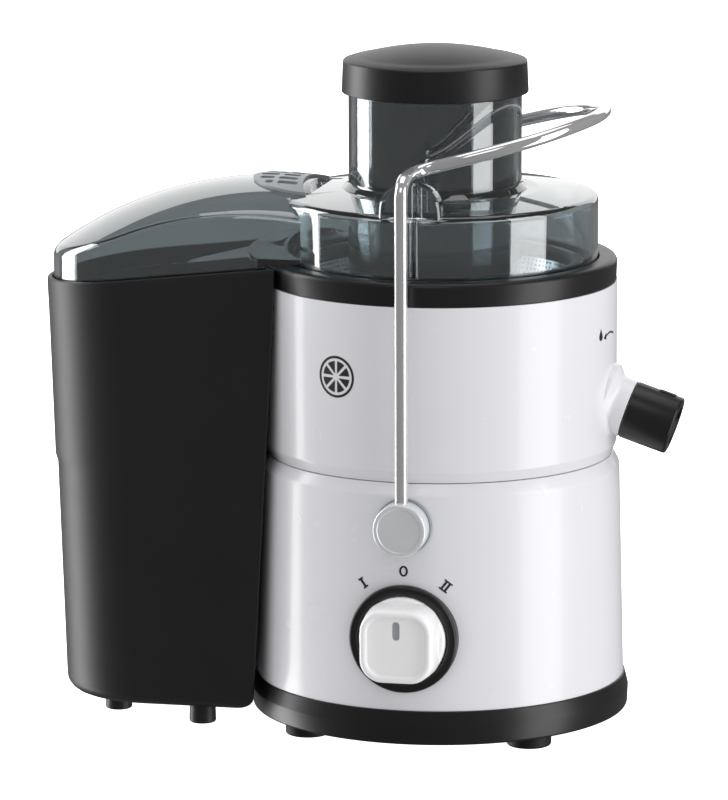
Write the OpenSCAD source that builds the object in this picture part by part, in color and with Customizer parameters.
// Centrifugal juicer. Millimetres, +Z up. The origin is the middle of the whole machine, at table level.
// The knob faces -Y, the pulp container stands on the -X side and the spout points to +X.
// The modules are drawn about the motor axis, and placed() moves them into the frame.

/* [Housing] */
// Radius of the white housing at its foot
housing_r_low = 86; // [70:0.5:104]
// How much the housing narrows from its foot to its shoulder
housing_taper = 2.5; // [0:0.5:6]
// Height of the seam between the housing and the juice bowl
seam_z = 126; // [118:1:155]
// Wall of the housing
housing_wall = 2.6; // [1.8:0.1:3]
// Height of the black skirt's top edge
skirt_top = 21.5; // [20:0.5:28]
// How far the skirt's lower band stands proud of the housing
skirt_proud = 2.1; // [0.6:0.1:2.5]
// Height of the rubber feet
foot_h = 6; // [4:0.5:9]
// Radius of a rubber foot
foot_r = 10.3; // [7:0.1:11]
// Distance of each foot's centre inside the housing's radius, along X and along Y
foot_inset = 34; // [32:1:38]

/* [Juice bowl] */
// Set-back of the bowl's wall behind the housing's shoulder
bowl_inset = 1.5; // [0:0.5:3]
// Height of the juice bowl above the seam
bowl_h = 81; // [70:1:100]
// Wall of the bowl
bowl_wall = 2.6; // [1.8:0.1:3]
// Height of the bowl's floor above the seam
bowl_floor_up = 15.5; // [14:0.5:17]
// Height of the black rim ring
ring_h = 11; // [8:0.5:14]

/* [Spout] */
// Height of the spout's axis above the bowl's floor, at the bowl's wall
spout_up = 9.1; // [8.8:0.1:13]
// Slope of the spout below the horizontal
spout_slope = 18.5; // [10:0.5:20]
// Radius of the spout's collar and nozzle
spout_r = 13.6; // [12:0.1:15]
// Bore radius of the spout
spout_bore = 9; // [7:0.1:9.5]
// Length of the turning nozzle
nozzle_len = 23; // [18:0.5:30]

/* [Lid and chute] */
// Set-back of the lid's round wall behind the bowl's
lid_inset = 9; // [8:0.5:12]
// Height of the lid's top edge above the rim ring
lid_h = 28.5; // [22:0.5:36]
// Wall of the lid
lid_wall = 2.4; // [1.6:0.1:3]
// Bore radius of the feed chute
chute_bore = 37.5; // [30:0.5:38]
// Wall of the feed chute
chute_wall = 2.5; // [1.8:0.1:3]
// Height of the chute's mouth above the lid's top edge
chute_h = 47.1; // [34:0.1:60]
// Offset of the chute from the motor axis, towards the container
chute_off = 2.4; // [0:0.1:4]
// Gap between the chute's lower end and the cutter
chute_gap = 10; // [8:0.5:14]
// Height of the hood's outer end above the container's rim
hood_end = 13.43; // [8:0.01:18]
// Radius of the hood's arch, seen from the end
arch_r = 110; // [100:1:130]

/* [Pulp container] */
// Reach of the container's rim from the motor axis
bin_reach = 186; // [170:1:225]
// How far the container's outer end leans in towards its floor
bin_lean = 7; // [0:1:16]
// Half width of the container
bin_half = 51; // [48:0.5:56]
// Half width of the flat at the container's outer end
bin_flat = 4; // [2:0.5:20]
// Wall of the container
bin_wall = 2.4; // [1.6:0.1:3]
// Height of the container's floor above the table
bin_floor = 8.5; // [6:0.5:12]
// Depth of the container's rim below the rim ring's top, beside the body
bin_drop = 0.7; // [0.5:0.1:4]
// Slope of the rim, falling away from the body
bin_rim_slope = 6.31; // [4:0.01:8]

/* [Pusher] */
// Radial clearance of the pusher's tube in the chute
pusher_gap = 0.7; // [0.4:0.1:2]
// Height of the pusher's lower end at rest above the chute's
pusher_up = 5; // [4:0.5:9]
// How far the pusher's cap reaches beyond the chute's wall
cap_over = 3.2; // [2:0.1:6]
// Height of the cap above the chute
cap_h = 21.3; // [18:0.1:26]

/* [Bail] */
// Diameter of the chrome rod
rod_d = 6; // [5:0.1:7.5]
// Gap between each leg and the housing at its foot's radius
leg_gap = 0.5; // [0.3:0.1:3]
// Depth of the bail's pivots below the seam
pivot_drop = 19; // [18:0.5:26]
// Height of the arms over the lid's top edge
arm_up = 18.8; // [16:0.1:24]
// Slope of the arms
arm_slope = 15.1; // [10:0.1:20]
// Reach of the bail's loop from the motor axis, along its slope
loop_reach = 78.4; // [74:0.1:90]
// How far each arm lies inside its leg
arm_inset = 30.5; // [28:0.5:34]

/* [Knob] */
// Gap between the knob's bezel and the skirt
knob_gap = 8.5; // [2:0.5:12]
// Radius of the knob
knob_r = 19.9; // [16:0.1:22]
// Width of the knob's bezel
bezel_w = 4.7; // [3:0.1:5.5]
// How far the knob's face stands out from the housing's foot
knob_out = 17.5; // [12:0.5:22]

/* [Basket] */
// Set-back of the sieve's rim behind the lid's wall
sieve_inset = 10; // [9:0.5:13]
// How much the sieve narrows from its rim to its foot
sieve_taper = 14; // [8:0.5:18]
// Height of the cutter disc above the bowl's floor
cutter_up = 29.5; // [27.5:0.5:30.5]
// Height of the sieve's rim above the bowl's top edge
sieve_up = 6; // [0:0.5:7]
// Radius of the motor shaft
shaft_r = 4; // [3:0.1:5]

/* [Hidden] */
$fn = 96;

run_fit = 0.05;        // radial clearance of a shaft in its bush
seat_gap = 0.3;        // clearance between pieces that rest on each other and come apart
free_gap = 0.5;        // clearance between loose covers

// Housing
housing_r_top = housing_r_low - housing_taper;
foot_pos = housing_r_low - foot_inset;
shoulder_z = seam_z - 5.5;
seam_r = housing_r_top - 3.1;
skirt_r = housing_r_low + skirt_proud;
skirt_bore = housing_r_low - housing_wall - 1;
flange_z = foot_h + 3;
plate_z = flange_z + 2.5;
plate_r = housing_r_low - 5.4;
flange_r = housing_r_low - 28;
turret_r = 24;
crease_z = skirt_top - 6.7;
turret_z = seam_z + 12;
deck_z = seam_z - housing_wall;
boss_r = 5;
boss_pos = housing_r_low - housing_wall - boss_r + 0.8;
screw_r = 1.5;
screw_head_r = 3.4;
screw_angles = [15 : 90 : 285];
gland_z = 36;
gland_r = 9;
gland_back = housing_r_low - 6;

// Juice bowl and rim ring
bowl_r = housing_r_top - bowl_inset;
bowl_top = seam_z + bowl_h;
bowl_floor = seam_z + bowl_floor_up;
bowl_base = 2.5;
bowl_lip = 5;
chimney_r = turret_r + 5;
chimney_wall = 2;
chimney_z = bowl_floor + 16.5;
lid_r = bowl_r - lid_inset;
ring_top = bowl_top + ring_h;
ring_lip = lid_r - 4.5;
ring_round = 2.5;
ledge_z = bowl_top + 2.5;

// Basket
cutter_z = bowl_floor + cutter_up;
sieve_top = bowl_top + sieve_up;
sieve_r_top = lid_r - sieve_inset;
sieve_r_low = sieve_r_top - sieve_taper;
blade_rows = 3;
blade_first = 10;
blade_pitch = (sieve_r_low - 9 - blade_first) / blade_rows;

// Spout, along its own axis
spout_z = bowl_floor + spout_up;
collar_len = 7;
nozzle_wall = 2.3;
spigot_r = spout_r - nozzle_wall - run_fit;
spigot_len = collar_len + nozzle_len - 4;
nozzle_end = 2.5;

// Container
bin_reach_low = bin_reach - bin_lean;
bin_corner = bin_half - bin_flat;
bin_rim = ring_top - bin_drop;
bin_top = bin_rim + 7.7;
bin_gap = 0.5;
bin_cone_low = housing_r_low + 7.5;
bin_edge = 5;
bin_foot_r = 6.3;
bin_feet = [[-(bin_cone_low + 11.5), bin_half - 11], [-(bin_reach_low - 29), bin_half - 29]];

// Lid, hood and vent
lid_top = ring_top + lid_h;
chute_top = lid_top + chute_h;
chute_low = cutter_z + chute_gap;
lid_round = 3;
lid_crown = lid_top + 3;
hood_cut = ring_top + 0.4;
ring_clear = bowl_r + bin_gap + bin_wall + 1.2;
hood_step_r = lid_r - 13;
hood_depth = 8;
hood_inset = bin_wall + free_gap + 0.7;
hood_low = bin_rim - 40;
hood_high = lid_top + 40;
hood_rise = 5.3;
crown_x = -(bowl_r - 2.9);
crown_span = bin_reach - hood_inset + crown_x;
crown_fall = lid_top + hood_rise - hood_end - bin_rim - (65 + hood_inset - bin_reach) * tan(bin_rim_slope);
crown_r = (crown_span * crown_span + crown_fall * crown_fall) / (2 * crown_fall);
crown_z = lid_top + hood_rise - crown_r;
vent_r = 26;
vent_x = -(lid_r - 11);
vent_rows = 5;
vent_pitch = 7;
lug_half = 14;
lug_y_in = lid_r - 11;
lug_y_out = lid_r - 1.5;

// Bail
leg_y = housing_r_low + leg_gap + rod_d / 2;
pivot_z = seam_z - pivot_drop;
arm_z = lid_top + arm_up;
arm_half = leg_y - arm_inset;
lug_arc = arm_z - pivot_z - rod_d / 2 - seat_gap;
bend_r = 9;
loop_bend = arm_half - 1.5;
hub_r = 12.2;
hub_in = leg_y - rod_d / 2 - 1;
hub_out = leg_y + rod_d / 2 + 2.5;
pin_r = 4;
bush_r = 6;
boss_face = hub_in - seat_gap;
cam_y = housing_r_top - 17.5;
pin_in = cam_y - 1;
cam_w = 4;
cam_hi = 12;
cam_drop = 2.5;
bail_open = 80;
plunger_r = 1.8;
switch_x = 16;
switch_far = 34;
switch_back = housing_r_top - 10.5;

// Knob and switch
bezel_r = knob_r + 0.4 + bezel_w;
knob_z = skirt_top + knob_gap + bezel_r;
knob_reach = housing_r_low + knob_out;
bezel_face = housing_r_low + 1.6;
bezel_back = housing_r_low - 8;
knob_base = housing_r_low - 3;
stem_r = 3;
grip_half = 16.5;

// Motor
seal_r = 10;
upper_z = seam_z - 16;
core_high = upper_z - 18;
core_low = core_high - 30;
comm_high = core_low - 9;
comm_low = comm_high - 9;
lower_z = comm_low - 8;
rotor_r = 19;
stator_bore = rotor_r + 0.6;
bearing_r = 9;
bearing_h = 6;
coil_in = 21;
coil_out = 28;
comm_r = 10;
tie_pos = 26;
tie_r = 2;
mount_pos = 32;
mount_r = 6.5;
shaft_low = lower_z - 1;
shaft_high = cutter_z - 17;
coupling_low = turret_z + 3;
coupling_r = 15;
frame_low = coupling_low + 6;

// Pusher
pusher_r = chute_bore - pusher_gap;
pusher_low = chute_low + pusher_up;
pusher_wall = 2.4;
pusher_base = 3;
cap_r = chute_bore + chute_wall + cap_over;
cap_low = chute_top + seat_gap;

// The whole machine's extents from the motor axis, and the frame's place in its middle
bin_rise = bin_top - bin_floor - bin_edge - 0.1;
rim_fall = tan(bin_rim_slope);
reach_left = (bin_reach_low * bin_rise + bin_lean * (bin_rim + 65 * rim_fall - bin_top + bin_rise))
    / (bin_rise + bin_lean * rim_fall);
reach_right = bowl_r + (collar_len + nozzle_len) * cos(spout_slope) + (spout_r - 1.2) * sin(spout_slope);
frame_x = (reach_left - reach_right) / 2;
frame_y = (knob_reach - hub_out) / 2;

// Moves a part from the motor axis into the frame
module placed() {
    translate([frame_x, frame_y, 0]) children();
}

// Radius of the housing's outside at height z
function housing_at(z) =
    housing_r_low + (housing_r_top - housing_r_low) * (z - skirt_top) / (shoulder_z - skirt_top);

// Points of an arc about c, from angle a to angle b
function arc(c, r, a, b, n = 6) =
    [for (i = [0 : n]) c + r * [cos(a + (b - a) * i / n), sin(a + (b - a) * i / n)]];

module ring(r_out, r_in, z_low, z_high) {
    translate([0, 0, z_low]) difference() {
        cylinder(r = r_out, h = z_high - z_low);
        translate([0, 0, -1]) cylinder(r = r_in, h = z_high - z_low + 2);
    }
}

// A cylinder along -Y on the front (side = 1) or along +Y on the rear (side = -1), at height z
module across(r, near, far, z, side = 1) {
    translate([0, -side * near, z]) rotate([side * 90, 0, 0]) cylinder(r = r, h = far - near);
}

// A prism across the whole width, from an outline in X and Z
module side_prism(outline) {
    rotate([90, 0, 0]) linear_extrude(240, center = true) polygon(outline);
}

// Places things along the spout: Z runs outwards from the bowl's wall
module on_spout() {
    translate([bowl_r, 0, spout_z]) rotate([0, 90 + spout_slope, 0]) children();
}

module base_housing() {
    color("ghostwhite") difference() {
        union() {
            rotate_extrude() polygon(concat(
                [[housing_r_low, skirt_top]],
                arc([housing_r_top - 5, shoulder_z], 5, 0, 68),
                [[seam_r, seam_z], [turret_r, seam_z], [turret_r, turret_z], [seal_r, turret_z],
                [seal_r, turret_z - housing_wall], [turret_r - housing_wall, turret_z - housing_wall],
                [turret_r - housing_wall, deck_z], [seam_r - 4, deck_z],
                [housing_r_top - housing_wall, shoulder_z - 3], [housing_r_low - housing_wall, skirt_top]]));
            for (a = screw_angles)
                rotate([0, 0, a]) translate([boss_pos, 0, plate_z]) cylinder(r = boss_r, h = 32);
            for (x = [-mount_pos, mount_pos], y = [-mount_pos, mount_pos])
                translate([x, y, upper_z + 7]) cylinder(r = mount_r, h = deck_z - upper_z - 6);
            for (side = [-1, 1])
                across(hub_r + 0.8, housing_at(pivot_z) - housing_wall - 5, boss_face, pivot_z, side);
            // web that carries the interlock switch
            translate([-switch_far, -switch_back - 2.5, pivot_z - 5]) cube([switch_far - switch_x, 2.5, 10]);
        }
        for (a = screw_angles)
            rotate([0, 0, a]) translate([boss_pos, 0, plate_z - 1]) cylinder(r = screw_r, h = 20);
        ring(housing_r_low + 10, skirt_bore - seat_gap, plate_z - 1, skirt_top);
        for (side = [-1, 1])
            across(bush_r, pin_in - 5, boss_face + 10, pivot_z, side);
        across(bezel_r, bezel_back - 8, knob_reach, knob_z);
        across(gland_r, gland_back - 10, gland_back + 20, gland_z, -1);
    }
}

module base_skirt() {
    color("#232225") difference() {
        rotate_extrude() polygon([[flange_r, foot_h], [skirt_r - 1.5, foot_h], [skirt_r, foot_h + 1.5],
            [skirt_r, crease_z], [housing_r_low + 0.4, skirt_top], [skirt_bore, skirt_top],
            [skirt_bore, flange_z], [flange_r, flange_z]]);
        for (a = screw_angles) rotate([0, 0, a]) translate([boss_pos, 0, foot_h - 1]) {
            cylinder(r = screw_r + 0.3, h = 10);
            cylinder(r = screw_head_r + 0.3, h = 3);
        }
    }
}

module bottom_plate() {
    color("#2a292c") difference() {
        translate([0, 0, flange_z]) cylinder(r = plate_r, h = plate_z - flange_z);
        for (a = screw_angles)
            rotate([0, 0, a]) translate([boss_pos, 0, foot_h]) cylinder(r = screw_r + 0.3, h = 10);
        for (y = [-40 : 10 : 40])
            translate([-sqrt(48 * 48 - y * y), y - 1.6, foot_h]) cube([2 * sqrt(48 * 48 - y * y), 3.2, 10]);
    }
}

module bottom_screws() {
    color("silver") for (a = screw_angles) rotate([0, 0, a]) translate([boss_pos, 0, 0]) {
        translate([0, 0, foot_h]) cylinder(r = screw_head_r, h = 2);
        translate([0, 0, foot_h + 1]) cylinder(r = screw_r - 0.03, h = 22);
    }
}

module body_feet() {
    color("#1b1b1d") for (x = [-foot_pos, foot_pos], y = [-foot_pos, foot_pos]) translate([x, y, 0])
        rotate_extrude() polygon([[0, 0], [foot_r - 1.2, 0], [foot_r, 1.2], [foot_r, foot_h], [0, foot_h]]);
}

module juice_bowl() {
    color("ghostwhite") difference() {
        union() {
            rotate_extrude() polygon([[seam_r, seam_z], [bowl_r - 0.5, seam_z + bowl_lip - 1.6],
                [bowl_r, seam_z + bowl_lip], [bowl_r, bowl_top], [bowl_r - bowl_wall, bowl_top],
                [bowl_r - bowl_wall, bowl_floor], [chimney_r, bowl_floor], [chimney_r, chimney_z],
                [chimney_r - chimney_wall, chimney_z], [chimney_r - chimney_wall, bowl_floor - bowl_base],
                [bowl_r - bowl_wall - 1, bowl_floor - bowl_base], [seam_r - bowl_wall, seam_z]]);
            on_spout() difference() {
                union() {
                    translate([0, 0, -9]) cylinder(r = spout_r, h = 9 + collar_len);
                    translate([0, 0, -9]) cylinder(r = spigot_r, h = 9 + spigot_len);
                }
                // the lower half of the spigot's end is open
                intersection() {
                    translate([0, 0, spigot_len - 3]) cylinder(r = spout_bore - 1.2, h = 10);
                    translate([0, -50, spigot_len - 4]) cube([50, 100, 20]);
                }
            }
        }
        on_spout() translate([0, 0, -20]) cylinder(r = spout_bore, h = 20 + spigot_len - 2);
        translate([0, 0, bowl_floor]) cylinder(r = bowl_r - bowl_wall, h = 20);
    }
    color("ghostwhite") ring(chimney_r, chimney_r - chimney_wall, bowl_floor - 1, chimney_z);
}

module rim_ring() {
    color("#242326") rotate_extrude() polygon(concat(
        [[ring_lip, bowl_top], [bowl_r, bowl_top]],
        arc([bowl_r - ring_round, ring_top - ring_round], ring_round, 0, 90),
        [[lid_r + free_gap, ring_top], [lid_r + free_gap, ledge_z], [ring_lip, ledge_z]]));
}

module spout_nozzle() {
    color("#242326") on_spout() difference() {
        translate([0, 0, collar_len + seat_gap]) {
            cylinder(r = spout_r, h = nozzle_len - seat_gap - 1.2);
            cylinder(r = spout_r - 1.2, h = nozzle_len - seat_gap);
        }
        cylinder(r = spout_r - nozzle_wall, h = collar_len + nozzle_len - nozzle_end);
        // the upper half of the nozzle's end is open
        intersection() {
            cylinder(r = spout_bore, h = 60);
            translate([-50, -50, 0]) cube([47.5, 100, 60]);
        }
    }
}

// Plan outline of the container or the hood, smaller by inset, with rounded outer corners
module bin_plan(reach, right, inset) {
    half = bin_half - inset;
    corner = bin_corner - inset;
    left = -reach + inset;
    for (side = [-1, 1])
        translate([left + corner, side * (half - corner)]) circle(corner);
    translate([left, -(half - corner)]) square([right - left, 2 * (half - corner)]);
    translate([left + corner, -half]) square([right - left - corner, 2 * half]);
}

// The curved top of the hood: a crown line along X and an arch across it, higher by grow
module crown_barrel(grow) {
    translate([crown_x, 0, crown_z]) rotate([90, 0, 0]) rotate_extrude() intersection() {
        translate([crown_r - arch_r, 0]) circle(arch_r + grow);
        translate([0, -70]) square([crown_r + 40, 140]);
    }
}

// Height of the container's rim at x
function rim_at(x) = bin_rim + (x + 65) * tan(bin_rim_slope);

// Everything over the container's rim, from depth below it
module over_rim(depth) {
    far = -(bin_reach + 40);
    side_prism([[far, rim_at(far) - depth], [0, rim_at(0) - depth], [0, hood_high], [far, hood_high]]);
}

// The hood's solid, smaller all round by inset, clear of the rim ring by clear
module hood_solid(inset, clear) {
    difference() {
        intersection() {
            translate([0, 0, hood_low]) linear_extrude(hood_high - hood_low)
                bin_plan(bin_reach, -30, hood_inset + inset);
            crown_barrel(-inset);
            over_rim(hood_depth + 2 * inset);
        }
        translate([0, 0, hood_low - 30]) cylinder(r = ring_clear + clear, h = hood_cut + clear - hood_low + 30);
        cylinder(r = hood_step_r + clear, h = hood_high + 10);
    }
}

// Places things about the chute's own axis
module at_chute() {
    translate([-chute_off, 0, 0]) children();
}

module lid_cap(wall) {
    top = lid_top - wall;
    rotate_extrude() polygon(concat(
        [[0, ledge_z - (wall > 0 ? 5 : 0)], [lid_r - wall, ledge_z - (wall > 0 ? 5 : 0)]],
        arc([lid_r - wall - lid_round, top - lid_round], lid_round, 0, 90),
        [[chute_bore, lid_crown - wall], [0, lid_crown - wall]]));
}

module lid_lug(side) {
    intersection() {
        translate([-lug_half, side > 0 ? -lug_y_out : lug_y_in, lid_top - 2])
            cube([2 * lug_half, lug_y_out - lug_y_in, 40]);
        translate([0, 0, pivot_z]) rotate([90, 0, 0]) cylinder(r = lug_arc, h = 200, center = true);
        translate([0, 0, lid_top - 4]) rotate([90, 0, 0]) cylinder(r = lug_half + 6.2, h = 200, center = true);
    }
}

module vent_plan(inset) {
    difference() {
        translate([vent_x, 0]) circle(vent_r - inset);
        circle(hood_step_r + lid_wall + 0.6 + inset);
    }
}

module lid() {
    color("#7f99a0", 0.5) difference() {
        union() {
            lid_cap(0);
            hood_solid(0, 0);
            at_chute() cylinder(r = chute_bore + chute_wall, h = chute_top);
            lid_lug(1);
            lid_lug(-1);
        }
        difference() {
            lid_cap(lid_wall);
            at_chute() translate([0, 0, chute_low])
                cylinder(r = chute_bore + chute_wall, h = chute_top - chute_low + 10);
        }
        hood_solid(lid_wall, lid_wall);
        at_chute() cylinder(r = chute_bore, h = chute_top + 10);
        cylinder(r = lid_r + 60, h = chute_low);
        difference() {
            cylinder(r = lid_r - lid_wall, h = ledge_z + 1);
            at_chute() cylinder(r = chute_bore + chute_wall, h = chute_top + 10);
        }
        translate([0, 0, ledge_z]) linear_extrude(hood_high - ledge_z) vent_plan(2.5);
    }
}

module vent_grille() {
    color("#d6dadc") difference() {
        intersection() {
            translate([0, 0, ledge_z]) linear_extrude(hood_high - ledge_z) vent_plan(0.3);
            difference() {
                crown_barrel(1.4);
                crown_barrel(0.05);
            }
        }
        for (i = [0 : vent_rows - 1], col = [0, 1]) {
            y = (i - (vent_rows - 1) / 2) * vent_pitch;
            translate([vent_x - 21 + 2.5 * abs(i - 2) + col * 13, y - 1.9, ledge_z])
                cube([col == 0 ? 11 : 9 - 2.5 * abs(i - 2) + 0.9 * abs(i - 2) * abs(i - 2), 3.8,
                    hood_high - ledge_z]);
        }
    }
}

// The container's solid between its floor and over its rim, smaller all round by inset
module bin_solid(inset) {
    hull() {
        translate([0, 0, bin_floor + inset])
            linear_extrude(0.1) bin_plan(bin_reach_low - bin_edge, -30, bin_edge + inset, $fn = 64);
        translate([0, 0, bin_floor + bin_edge + inset])
            linear_extrude(0.1) bin_plan(bin_reach_low, -30, inset, $fn = 64);
        translate([0, 0, bin_top])
            linear_extrude(0.1) bin_plan(bin_reach, -30, inset, $fn = 64);
    }
}

// The cone that hollows the container's side next to the body, larger by grow
module body_cone(grow) {
    translate([0, 0, bin_floor - 10])
        cylinder(r1 = bin_cone_low + grow, r2 = bowl_r + bin_gap + grow, h = bin_top + 15 - bin_floor);
}

module pulp_container() {
    color("#3a393b") {
        difference() {
            bin_solid(0);
            over_rim(0);
            body_cone(0);
            difference() {
                bin_solid(bin_wall);
                body_cone(bin_wall);
            }
        }
        for (p = bin_feet, side = [-1, 1])
            translate([p[0], side * p[1], 0]) cylinder(r = bin_foot_r, h = bin_floor + bin_wall);
    }
}

module pusher_body() {
    color("#4a5a60", 0.7) at_chute() difference() {
        translate([0, 0, pusher_low]) cylinder(r = pusher_r, h = chute_top + seat_gap - pusher_low);
        translate([0, 0, pusher_low + pusher_base]) cylinder(r = pusher_r - pusher_wall, h = 200);
    }
}

module pusher_cap() {
    color("#232225") at_chute() {
        rotate_extrude() polygon(concat(
            [[0, cap_low], [cap_r, cap_low], [cap_r - 0.7, cap_low + cap_h - 8.1]],
            arc([cap_r - 2.2, cap_low + cap_h - 8.1], 1.5, 0, 65),
            [for (f = [0.9 : -0.1 : 0.1]) [(cap_r - 1.6) * f, cap_low + cap_h - 6.7 * f * f]],
            [[0, cap_low + cap_h]]));
        ring(pusher_r - 2.5, pusher_r - 4.5, cap_low - 6, cap_low + 1);
    }
}

// Part of a ring of rod, from the X axis through angle a
module rod_arc(r, a) {
    rotate_extrude(angle = a) translate([r, 0]) circle(d = rod_d, $fn = 32);
}

module rod_run(length) {
    cylinder(d = rod_d, h = length, $fn = 32);
}

// Half of the loop in the arms' own sloping plane, on the rear side
module loop_half() {
    run = loop_reach - loop_bend - bend_r;
    end = arm_half - loop_bend;
    translate([0, leg_y - bend_r, 0]) rotate([90, 0, 0]) rod_run(leg_y - 2 * bend_r - arm_half + 0.01);
    translate([bend_r, arm_half + bend_r, 0]) rotate([0, 0, 180]) rod_arc(bend_r, 90);
    translate([bend_r, arm_half, 0]) rotate([0, 90, 0]) rod_run(run);
    translate([bend_r + run, end, 0]) rod_arc(loop_bend, 90);
    translate([loop_reach, end, 0]) rotate([90, 0, 0]) rod_run(end);
}

module bail_rod() {
    color("gainsboro") for (side = [0, 1]) mirror([0, side, 0]) {
        translate([0, leg_y, pivot_z + 4]) rod_run(arm_z - bend_r - pivot_z - 4);
        translate([0, leg_y - bend_r, arm_z - bend_r]) rotate([90, 0, 90]) rod_arc(bend_r, 90);
        translate([0, 0, arm_z]) rotate([0, -arm_slope, 0]) loop_half();
    }
}

module bail_hubs() {
    color("silver") for (side = [0, 1]) mirror([0, side, 0]) difference() {
        translate([0, 0, pivot_z]) rotate([-90, 0, 0]) rotate_extrude() polygon([[0, hub_in], [hub_r, hub_in],
            [hub_r, hub_out - 1.4], [hub_r - 1.4, hub_out], [0, hub_out]]);
        translate([0, leg_y, pivot_z + 4]) cylinder(d = rod_d + 0.02, h = 30);
        across(pin_r + 0.01, pin_in - 5, leg_y - rod_d / 2 - 0.2, pivot_z, -1);
    }
}

module bail_pins() {
    color("silver") for (side = [-1, 1])
        across(pin_r, pin_in, leg_y - rod_d / 2 - 0.3, pivot_z, side);
}

module pivot_bushes() {
    color("white") for (side = [-1, 1]) difference() {
        union() {
            across(bush_r - 0.02, housing_at(pivot_z) - housing_wall - 5, boss_face, pivot_z, side);
            across(bush_r + 2, housing_at(pivot_z) - housing_wall - 7,
                housing_at(pivot_z) - housing_wall - 5, pivot_z, side);
        }
        across(pin_r + run_fit, pin_in - 15, hub_out, pivot_z, side);
    }
}

// Radius of the cam at an angle below the plunger's side: it falls evenly as the bail opens
function cam_at(a) = a < -5 ? cam_hi - cam_drop : a > bail_open + 10 ? cam_hi - cam_drop
    : cam_hi - cam_drop * max(0, min(a, bail_open)) / bail_open;

module interlock_cam() {
    color("orangered") difference() {
        translate([0, -cam_y, pivot_z]) rotate([90, 0, 0]) linear_extrude(cam_w)
            polygon([for (a = [-20 : 5 : 335]) cam_at(a) * [-cos(a), -sin(a)]]);
        across(pin_r + 0.01, pin_in - 5, cam_y + 9, pivot_z);
    }
}

module interlock_plunger() {
    color("white") translate([-cam_hi - seat_gap, -cam_y - cam_w / 2, pivot_z]) rotate([0, -90, 0])
        cylinder(r = plunger_r, h = 9, $fn = 48);
}

module interlock_switch() {
    color("#333333") difference() {
        translate([-switch_far, -switch_back, pivot_z - 8]) cube([switch_far - switch_x, 9, 16]);
        translate([-switch_x + 1, -cam_y - cam_w / 2, pivot_z]) rotate([0, -90, 0])
            cylinder(r = plunger_r + run_fit, h = 8, $fn = 48);
    }
}

module knob() {
    color("whitesmoke") difference() {
        union() {
            across(knob_r, knob_base, bezel_face + 1.5, knob_z);
            across(knob_r - 0.8, knob_base, bezel_face + 2.3, knob_z);
            intersection() {
                across(knob_r - 0.8, knob_base, knob_reach, knob_z);
                translate([-grip_half, -knob_reach, knob_z - grip_half])
                    cube([2 * grip_half, knob_reach - knob_base, 2 * grip_half]);
            }
        }
        across(stem_r + 0.01, bezel_back - 8, knob_reach - 6, knob_z);
        translate([-13.5, -knob_reach - 1, knob_z - 13.5]) cube([27, 1.8, 27]);
        translate([-1.6, -knob_reach, knob_z + 3]) cube([3.2, 2.2, 9]);
    }
}

module knob_pointer() {
    color("darkgray") translate([-1.55, -knob_reach + 0.6, knob_z + 3.05]) cube([3.1, 1.55, 8.9]);
}

module knob_bezel() {
    color("#1c1c1e") difference() {
        union() {
            across(bezel_r - 0.02, bezel_back, bezel_face - 0.6, knob_z);
            across(bezel_r - 0.6, bezel_back, bezel_face, knob_z);
        }
        across(knob_r + 0.4, knob_base - 2, knob_reach, knob_z);
        across(stem_r + 0.4, bezel_back - 8, knob_reach, knob_z);
    }
}

module rotary_switch() {
    color("#d8d4c8") difference() {
        translate([-14, -bezel_back, knob_z - 15]) cube([28, 18, 30]);
        across(stem_r + run_fit, bezel_back - 12, knob_reach, knob_z);
    }
}

module switch_shaft() {
    color("silver") across(stem_r, bezel_back - 11.7, knob_reach - 6.3, knob_z);
}

module sieve() {
    color("lightgray") rotate_extrude() polygon([[sieve_r_low - 0.8, cutter_z], [sieve_r_low, cutter_z],
        [sieve_r_top, sieve_top], [sieve_r_top - 0.8, sieve_top]]);
}

module basket_frame() {
    color("#2b2b2e") difference() {
        union() {
            translate([0, 0, cutter_z - 8]) cylinder(r1 = sieve_r_low - 4, r2 = sieve_r_low + 1.5, h = 8);
            translate([0, 0, frame_low]) cylinder(r = coupling_r + 4, h = cutter_z - frame_low - 1);
        }
        translate([0, 0, frame_low - 1]) cylinder(r = coupling_r + 0.3, h = shaft_high + 4 - frame_low);
        translate([0, 0, frame_low - 1]) cylinder(r = shaft_r + 0.3, h = shaft_high + 6 - frame_low);
    }
}

module basket_rim() {
    color("#2b2b2e") rotate_extrude() polygon([[sieve_r_top - 2.2, sieve_top], [sieve_r_top + 0.02, sieve_top],
        [sieve_r_top + 0.02, sieve_top - 3], [sieve_r_top + 1.4, sieve_top - 3], [sieve_r_top + 3.2, sieve_top + 1],
        [sieve_r_top + 3.2, sieve_top + 4.5], [sieve_r_top - 1, sieve_top + 4.5],
        [sieve_r_top - 2.2, sieve_top + 3]]);
}

module cutter_disc() {
    color("lightgray") {
        translate([0, 0, cutter_z]) cylinder(r = sieve_r_low - 1.2, h = 1.2);
        for (row = [0 : blade_rows], i = [0 : 11 + 4 * row])
            rotate([0, 0, 360 / (12 + 4 * row) * i + 11 * row])
                translate([blade_first + blade_pitch * row, -0.6, cutter_z + 1])
                    rotate([0, 0, 30]) cube([3.4, 1.2, 1.6]);
    }
}

module drive_coupling() {
    color("#202022") difference() {
        union() {
            translate([0, 0, coupling_low]) cylinder(r = coupling_r - 3, h = shaft_high - coupling_low);
            for (a = [0 : 60 : 300]) rotate([0, 0, a])
                translate([0, -2.2, coupling_low + 6]) cube([coupling_r - 0.2, 4.4, shaft_high - coupling_low - 6]);
        }
        translate([0, 0, coupling_low - 10]) cylinder(r = shaft_r + 0.01, h = shaft_high - coupling_low + 20);
    }
}

module shaft_seal() {
    color("#3a2a26") ring(seal_r - 0.02, shaft_r + run_fit, turret_z - housing_wall, turret_z + 1);
}

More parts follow.
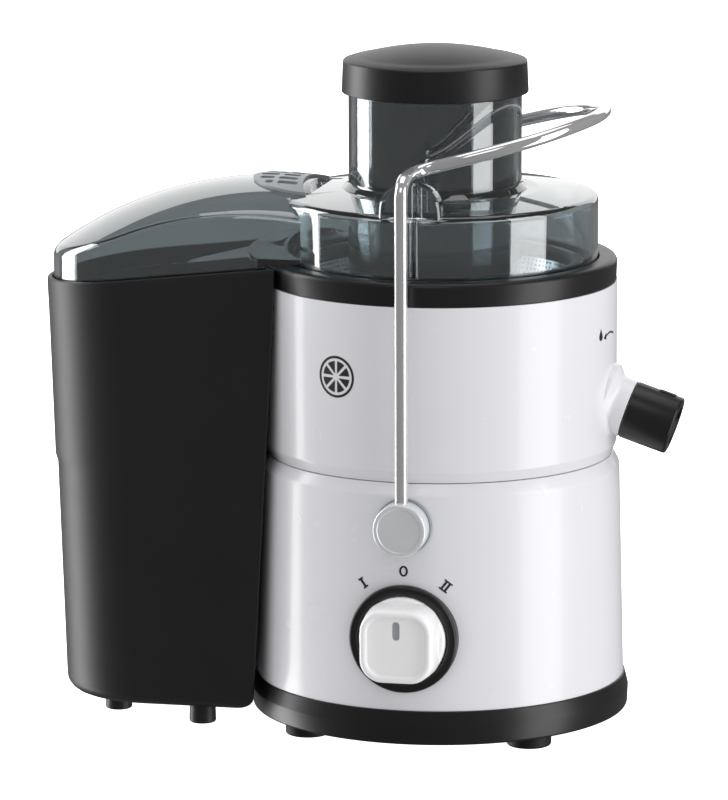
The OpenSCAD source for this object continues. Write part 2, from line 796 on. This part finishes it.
module motor_shaft() {
    color("silver") translate([0, 0, shaft_low]) cylinder(r = shaft_r, h = shaft_high - shaft_low);
}

module armature_core() {
    color("slategray") difference() {
        ring(rotor_r, shaft_r + 0.01, core_low + 1, core_high - 1);
        for (a = [0 : 30 : 330]) rotate([0, 0, a]) translate([rotor_r - 4, 0, 0]) {
            cylinder(r = 2, h = 120, $fn = 24);
            translate([0, -0.7, 0]) cube([10, 1.4, 120]);
        }
    }
}

module armature_winding() {
    color("peru") {
        ring(rotor_r - 2.5, shaft_r + 0.01, core_high - 1, core_high + 7);
        ring(rotor_r - 2.5, shaft_r + 0.01, comm_high + 2, core_low + 1);
    }
}

module commutator() {
    color("chocolate") difference() {
        ring(comm_r, shaft_r + 0.01, comm_low, comm_high + 1);
        for (a = [0 : 15 : 345]) rotate([0, 0, a]) translate([comm_r - 0.8, -0.25, 0]) cube([3, 0.5, comm_high]);
    }
}

module fan() {
    color("#e9e4d6") {
        ring(8, shaft_r + 0.01, core_high + 7, upper_z - 3);
        ring(34, 7.5, core_high + 8.5, core_high + 10);
        for (a = [0 : 40 : 320]) rotate([0, 0, a])
            translate([10, -0.7, core_high + 9.5]) rotate([0, 0, -20]) cube([23, 1.4, 5]);
    }
}

module stator_core() {
    color("darkslategray") difference() {
        intersection() {
            translate([0, 0, core_low]) cylinder(r = 41, h = core_high - core_low);
            translate([-34, -34, core_low]) cube([68, 68, core_high - core_low]);
        }
        cylinder(r = stator_bore, h = 200);
        translate([-coil_out - 1, -13, 0]) cube([2 * coil_out + 2, 26, 200]);
        for (x = [-tie_pos, tie_pos], y = [-tie_pos, tie_pos])
            translate([x, y, 0]) cylinder(r = tie_r + 0.1, h = 200, $fn = 32);
    }
}

module stator_coils() {
    color("sienna") for (side = [0, 1]) mirror([0, side, 0]) {
        for (z = [core_low - 7.5, core_high + 0.5])
            translate([0, 0, z]) rotate([0, 0, 5]) rotate_extrude(angle = 170)
                translate([coil_in, 0]) square([coil_out - coil_in, 7]);
        for (x = [-coil_out, coil_in])
            translate([x, 3, core_low - 7.5]) cube([coil_out - coil_in - 0.5, 9, core_high - core_low + 15]);
    }
}

module upper_bracket() {
    color("lightsteelblue") difference() {
        union() {
            translate([0, 0, upper_z]) cylinder(r = mount_pos * sqrt(2) + mount_r, h = 3);
            translate([0, 0, upper_z]) cylinder(r = bearing_r + 2.5, h = bearing_h + 2);
        }
        translate([0, 0, upper_z + 2]) cylinder(r = bearing_r, h = 20);
        cylinder(r = shaft_r + 1, h = 200);
        for (a = [0 : 90 : 270]) rotate([0, 0, a]) translate([26, 0, 0]) cylinder(r = 9, h = 200);
    }
}

module lower_bracket() {
    color("lightsteelblue") difference() {
        union() {
            translate([-tie_pos - 6, -tie_pos - 6, lower_z]) cube([2 * tie_pos + 12, 2 * tie_pos + 12, 3]);
            translate([0, 0, lower_z]) cylinder(r = bearing_r + 2.5, h = bearing_h + 1);
        }
        translate([0, 0, lower_z + 1]) cylinder(r = bearing_r, h = 20);
        cylinder(r = shaft_r + 1, h = 200);
        for (x = [-tie_pos, tie_pos], y = [-tie_pos, tie_pos])
            translate([x, y, 0]) cylinder(r = tie_r + 0.1, h = 200, $fn = 32);
        for (side = [-1, 1]) translate([0, side * 22, 0]) cylinder(r = 9, h = 200);
    }
}

module bearings() {
    color("gray") {
        ring(bearing_r - 0.01, shaft_r + run_fit, upper_z + 2, upper_z + 2 + bearing_h);
        ring(bearing_r - 0.01, shaft_r + run_fit, lower_z + 1, lower_z + 1 + bearing_h);
    }
}

module motor_screws() {
    color("silver") for (x = [-tie_pos, tie_pos], y = [-tie_pos, tie_pos]) translate([x, y, 0]) {
        translate([0, 0, lower_z - 3]) cylinder(r = tie_r + 1.5, h = 3, $fn = 32);
        translate([0, 0, lower_z - 1]) cylinder(r = tie_r, h = upper_z - lower_z + 1, $fn = 32);
    }
}

module brush_holders() {
    color("tan") for (side = [0, 1]) mirror([side, 0, 0]) difference() {
        translate([13, -6, lower_z + 3]) cube([19, 12, comm_high - lower_z - 2.5]);
        translate([12, -3.1, comm_low + 1]) cube([18, 6.2, 7]);
    }
}

module brushes() {
    color("#303030") for (side = [0, 1]) mirror([side, 0, 0])
        translate([comm_r + seat_gap, -3, comm_low + 1.1]) cube([15, 6, 6.8]);
}

module motor_mounts() {
    color("#1b1b1d") for (x = [-mount_pos, mount_pos], y = [-mount_pos, mount_pos])
        translate([x, y, upper_z + 3]) cylinder(r = mount_r - 0.5, h = 4);
}

module cord_gland() {
    color("#1b1b1d") difference() {
        union() {
            across(gland_r - 0.02, gland_back, housing_at(gland_z) + 3, gland_z, -1);
            across(gland_r + 2, gland_back - 2, gland_back, gland_z, -1);
        }
        across(3.4, gland_back - 10, gland_back + 20, gland_z, -1);
    }
}

module capacitor() {
    color("gold") translate([housing_r_low - 48, 36, plate_z]) cube([18, 8, 14]);
}

placed() base_housing();
placed() base_skirt();
placed() bottom_plate();
placed() bottom_screws();
placed() body_feet();
placed() juice_bowl();
placed() rim_ring();
placed() spout_nozzle();
placed() lid();
placed() vent_grille();
placed() pulp_container();
placed() pusher_body();
placed() pusher_cap();
placed() bail_rod();
placed() bail_hubs();
placed() bail_pins();
placed() pivot_bushes();
placed() interlock_cam();
placed() interlock_plunger();
placed() interlock_switch();
placed() knob();
placed() knob_pointer();
placed() knob_bezel();
placed() rotary_switch();
placed() switch_shaft();
placed() sieve();
placed() basket_frame();
placed() basket_rim();
placed() cutter_disc();
placed() drive_coupling();
placed() shaft_seal();
placed() motor_shaft();
placed() armature_core();
placed() armature_winding();
placed() commutator();
placed() fan();
placed() stator_core();
placed() stator_coils();
placed() upper_bracket();
placed() lower_bracket();
placed() bearings();
placed() motor_screws();
placed() brush_holders();
placed() brushes();
placed() motor_mounts();
placed() cord_gland();
placed() capacitor();
